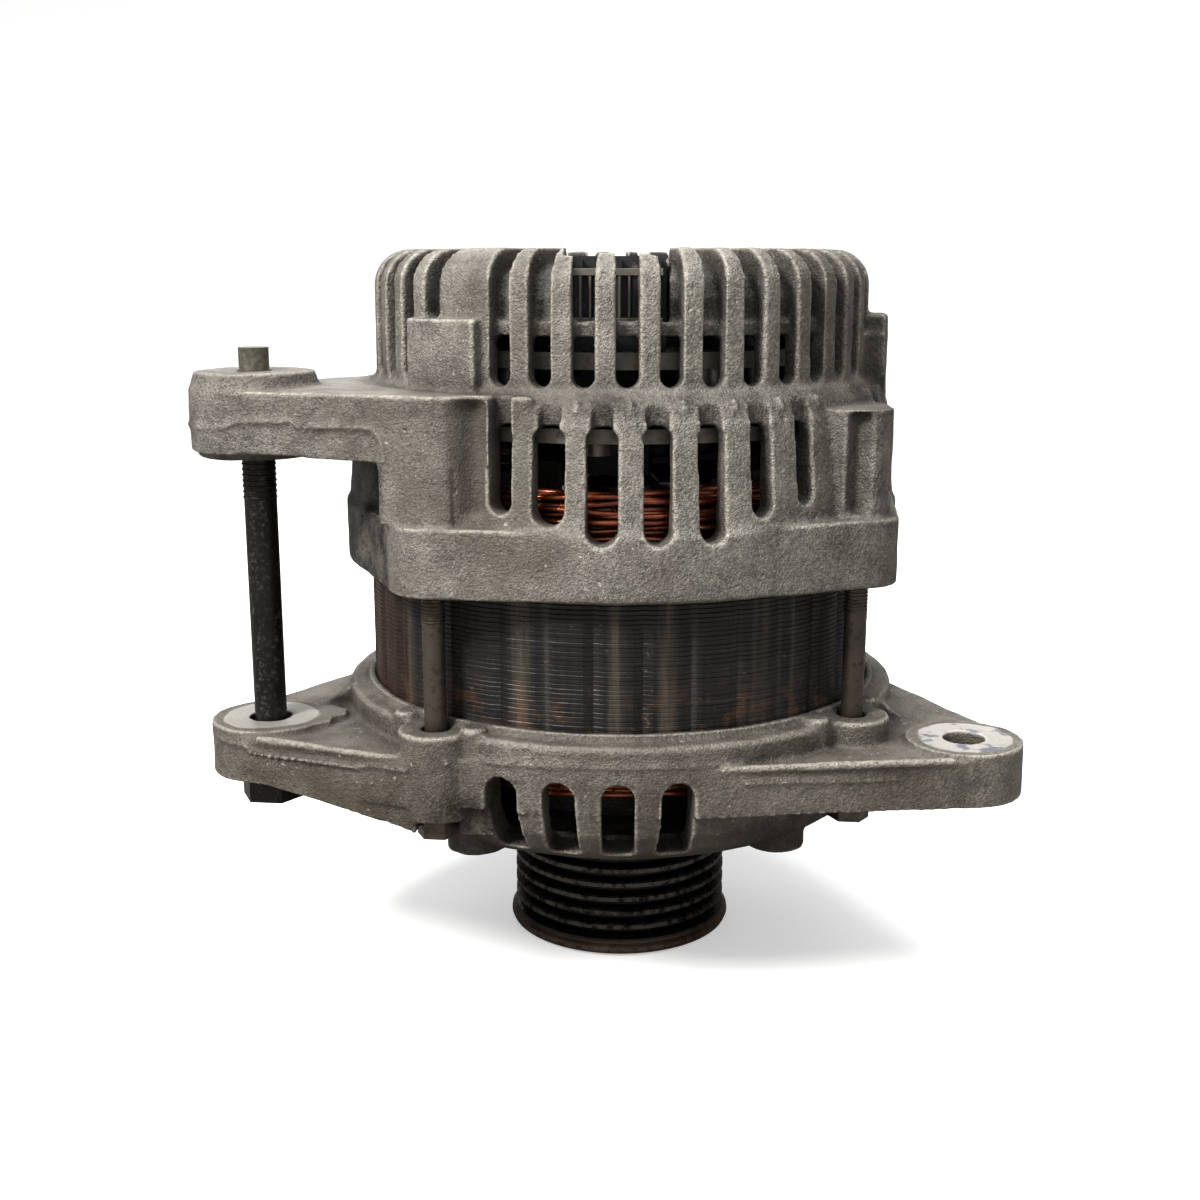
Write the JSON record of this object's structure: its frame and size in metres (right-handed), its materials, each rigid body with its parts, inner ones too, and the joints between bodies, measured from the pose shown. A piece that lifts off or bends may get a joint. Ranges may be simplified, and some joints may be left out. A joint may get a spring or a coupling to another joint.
{
  "type": "car alternator",
  "caption": "Belt-driven car alternator: finned cast frames clamping a laminated stator, grooved pulley below, mounting ears and a long pivot bolt at the side.",
  "frame": {"origin": "on the shaft axis, at the centre plane of the pulley's belt track", "axes": "+Z along the shaft from the pulley to the rear end, +X from the left ear to the right ear, parallel to the line through both ear holes, -Y the side nearest both ears"},
  "size_m": [0.1841, 0.1435, 0.1655],
  "materials": {
    "cast_aluminium": "rough as-cast, grey-beige, dirt in the corners",
    "cast_aluminium_rear": "rough as-cast, grey-beige with bright worn edges",
    "lamination_steel": "near-black stacked laminations with rust bands",
    "copper_enamel": "orange-red enamelled copper wire",
    "slot_paper": "matte slot paper",
    "bolt_steel": "dull grey-brown steel",
    "black_bolt": "black oxide with wear",
    "bearing_steel": "ground steel",
    "seal_rubber": "matte rubber",
    "sleeve_plastic": "matte glass-filled plastic",
    "plated_steel": "zinc plated",
    "sink_aluminium": "stamped aluminium, dusty",
    "terminal_plastic": "matte black plastic",
    "black_plastic": "glass-filled black plastic",
    "tinned_brass": "tinned",
    "forged_steel": "forged, lightly oiled",
    "ring_copper": "turned copper",
    "pulley_black": "black coated steel, flange rubbed brown",
    "carbon": "carbon"
  },
  "bodies": {
    "housing": {"drive_end_frame": "cast_aluminium", "rear_frame": "cast_aluminium_rear", "stator_core": "lamination_steel", "stator_winding": "copper_enamel", "slot_liners": "slot_paper", "phase_leads": "copper_enamel", "through_bolts": "bolt_steel", "pivot_bolt": "black_bolt", "front_bearing_outer_race": "bearing_steel", "front_bearing_seals": "seal_rubber", "rear_bearing_outer_race": "bearing_steel", "rear_bearing_seals": "seal_rubber", "rear_bearing_sleeve": "sleeve_plastic", "bearing_retainer": "plated_steel", "retainer_screws": "plated_steel", "negative_heat_sink": "sink_aluminium", "positive_heat_sink": "sink_aluminium", "negative_diodes": "plated_steel", "positive_diodes": "plated_steel", "diode_terminal_block": "terminal_plastic", "rectifier_screws": "plated_steel", "heat_sink_screws": "plated_steel", "b_plus_stud": "plated_steel", "b_plus_insulator": "black_plastic", "b_plus_nut": "plated_steel", "voltage_regulator": "black_plastic", "connector_socket": "black_plastic", "connector_pins": "tinned_brass", "brush_holder": "black_plastic", "slip_ring_shroud": "black_plastic", "brush_spring_1": "plated_steel", "brush_spring_2": "plated_steel"},
    "rotor": {"rotor_shaft": "bearing_steel", "pole_claw_front": "forged_steel", "pole_claw_rear": "forged_steel", "coil_bobbin": "sleeve_plastic", "field_coil": "copper_enamel", "front_fan": "plated_steel", "rear_fan": "plated_steel", "slip_ring_hub": "black_plastic", "slip_rings": "ring_copper", "pulley": "pulley_black", "pulley_spacer": "plated_steel", "pulley_washer": "plated_steel", "pulley_nut": "plated_steel", "front_bearing_inner_race": "bearing_steel", "rear_bearing_inner_race": "bearing_steel"},
    "front_ball_set": {"front_bearing_balls": "bearing_steel", "front_bearing_cage": "plated_steel"},
    "rear_ball_set": {"rear_bearing_balls": "bearing_steel", "rear_bearing_cage": "plated_steel"},
    "brush_body_1": {"brush_1": "carbon"},
    "brush_body_2": {"brush_2": "carbon"}
  },
  "joints": [
    {"name": "rotor_spin", "type": "hinge", "parent": "housing", "child": "rotor", "pos_m": [0, 0, 0], "axis": [0, 0, 1], "continuous": true},
    {"name": "front_balls_spin", "type": "hinge", "parent": "housing", "child": "front_ball_set", "pos_m": [0, 0, 0.027], "axis": [0, 0, 1], "continuous": true},
    {"name": "rear_balls_spin", "type": "hinge", "parent": "housing", "child": "rear_ball_set", "pos_m": [0, 0, 0.1335], "axis": [0, 0, 1], "continuous": true},
    {"name": "brush_1_slide", "type": "slide", "parent": "housing", "child": "brush_body_1", "axis": [0, -1, 0], "range_m": [0, 0.004], "deforming": ["brush_spring_1"]},
    {"name": "brush_2_slide", "type": "slide", "parent": "housing", "child": "brush_body_2", "axis": [0, -1, 0], "range_m": [0, 0.004], "deforming": ["brush_spring_2"]}
  ],
  "couplings": [
    {"joint": "front_balls_spin", "follows": "rotor_spin", "ratio": 0.3769},
    {"joint": "rear_balls_spin", "follows": "rotor_spin", "ratio": 0.379}
  ]
}
